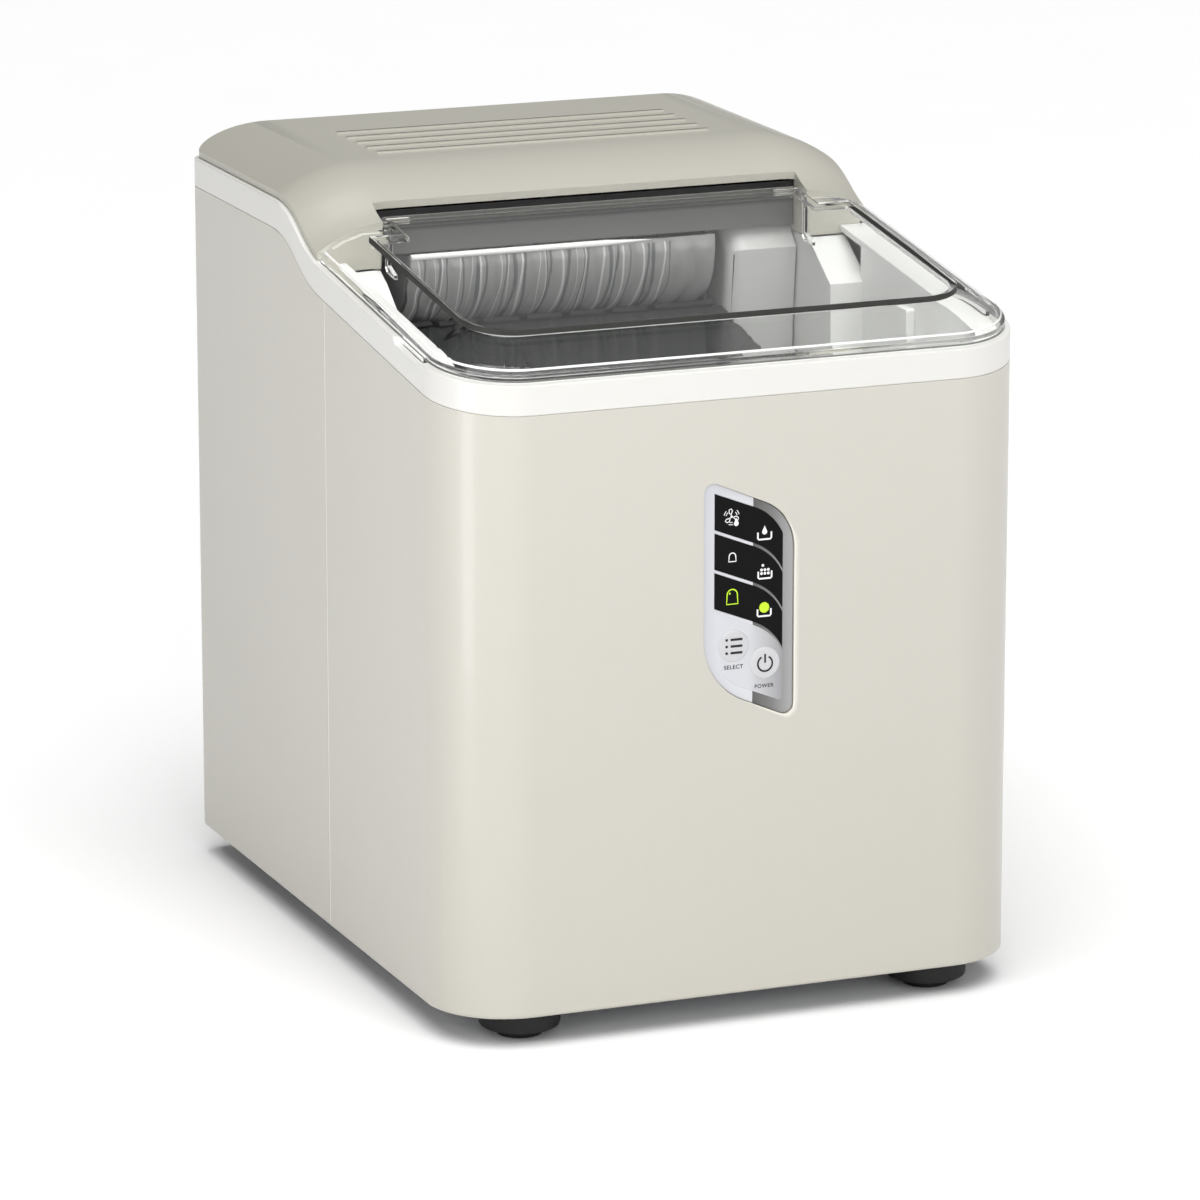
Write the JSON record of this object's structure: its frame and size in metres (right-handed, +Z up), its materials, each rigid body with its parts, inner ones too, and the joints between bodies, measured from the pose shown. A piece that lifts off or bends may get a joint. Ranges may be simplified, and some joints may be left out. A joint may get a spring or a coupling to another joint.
{
  "type": "countertop ice maker",
  "caption": "Countertop bullet-ice maker: cream case, white trim band, clear hinged lid over an ice basket and tilting water tray, slanted control panel.",
  "frame": {"origin": "on the floor, under the middle of the case", "axes": "+X to the user's right when facing the control panel, +Y from the control panel to the back, +Z up"},
  "size_m": [0.221, 0.282, 0.2859],
  "materials": {
    "shell_beige": "gloss cream-beige moulding",
    "cover_beige": "satin cream-beige moulding",
    "band_white": "gloss white",
    "clear_lid": "clear moulded plastic, polished",
    "tub_grey": "smooth pale grey",
    "smoke_clear": "smoky translucent plastic",
    "black_plastic": "black",
    "grey_plastic": "mid grey",
    "rubber_black": "matt rubber",
    "panel_silver": "silver",
    "screen_black": "gloss black",
    "button_silver": "pale silver",
    "steel": "bright",
    "chrome": "polished nickel plate",
    "copper": "drawn copper tube",
    "aluminium": "mill finish",
    "black_paint": "black paint",
    "foam": "rigid foam",
    "board_green": "circuit board",
    "hose": "translucent silicone hose",
    "white_plastic": "white"
  },
  "bodies": {
    "case": {"front_panel": "shell_beige", "rear_housing": "shell_beige", "trim_band": "band_white", "top_cover": "cover_beige", "hinge_pins": "chrome", "base_pan": "steel", "feet": "rubber_black", "case_screws": "chrome", "rear_grille": "shell_beige", "side_grille": "shell_beige", "cord_gland": "black_plastic", "drain_outlet": "grey_plastic", "inner_tub": "tub_grey", "tub_insulation": "foam", "float_stem": "white_plastic", "ice_full_sensors": "black_plastic", "ice_chute": "smoke_clear", "evaporator": "chrome", "evaporator_bracket": "steel", "refrigerant_lines": "copper", "tray_motor": "black_plastic", "motor_cover": "tub_grey", "hinge_shield": "black_plastic", "compressor": "black_paint", "compressor_grommets": "rubber_black", "condenser": "aluminium", "fan_shroud": "black_plastic", "fan_motor": "steel", "filter_drier": "copper", "hot_gas_valve": "steel", "water_pump": "grey_plastic", "water_hoses": "hose", "water_spout": "tub_grey", "control_bezel": "panel_silver", "display_window": "screen_black", "control_board": "board_green", "main_board": "board_green"},
    "lid": {"lid": "clear_lid"},
    "water_tray": {"water_tray": "smoke_clear"},
    "ice_shovel": {"ice_shovel": "grey_plastic"},
    "basket": {"ice_basket": "tub_grey"},
    "fan": {"fan_blade": "black_plastic"},
    "impeller": {"pump_impeller": "white_plastic"},
    "float": {"water_float": "white_plastic"},
    "select": {"select_button": "button_silver"},
    "power": {"power_button": "button_silver"},
    "plug": {"drain_plug": "grey_plastic"}
  },
  "joints": [
    {"name": "lid_hinge", "type": "hinge", "parent": "case", "child": "lid", "pos_m": [0, 0.00602, 0.26801], "axis": [-1, 0, 0], "range_deg": [0, 85]},
    {"name": "tray_tilt", "type": "hinge", "parent": "case", "child": "water_tray", "pos_m": [0, 0.035, 0.25], "axis": [1, 0, 0], "range_deg": [0, 78]},
    {"name": "shovel_sweep", "type": "hinge", "parent": "case", "child": "ice_shovel", "pos_m": [0, 0.035, 0.25], "axis": [-1, 0, 0], "range_deg": [0, 70]},
    {"name": "basket_lift", "type": "slide", "parent": "case", "child": "basket", "axis": [0, 0, 1], "range_m": [0, 0.014]},
    {"name": "fan_spin", "type": "hinge", "parent": "case", "child": "fan", "pos_m": [-0.054, 0.088, 0.08], "axis": [0, 1, 0], "continuous": true},
    {"name": "impeller_spin", "type": "hinge", "parent": "case", "child": "impeller", "pos_m": [-0.05, -0.07, 0.031], "axis": [0, 0, 1], "continuous": true},
    {"name": "float_rise", "type": "slide", "parent": "case", "child": "float", "axis": [0, 0, 1], "range_m": [0, 0.04]},
    {"name": "select_press", "type": "slide", "parent": "case", "child": "select", "axis": [0, 1, 0], "range_m": [0, 0.0008], "stiffness_N_per_m": 600},
    {"name": "power_press", "type": "slide", "parent": "case", "child": "power", "axis": [0, 1, 0], "range_m": [0, 0.0008], "stiffness_N_per_m": 600},
    {"name": "drain_plug_pull", "type": "slide", "parent": "case", "child": "plug", "axis": [0, 1, 0], "range_m": [0, 0.006]}
  ]
}
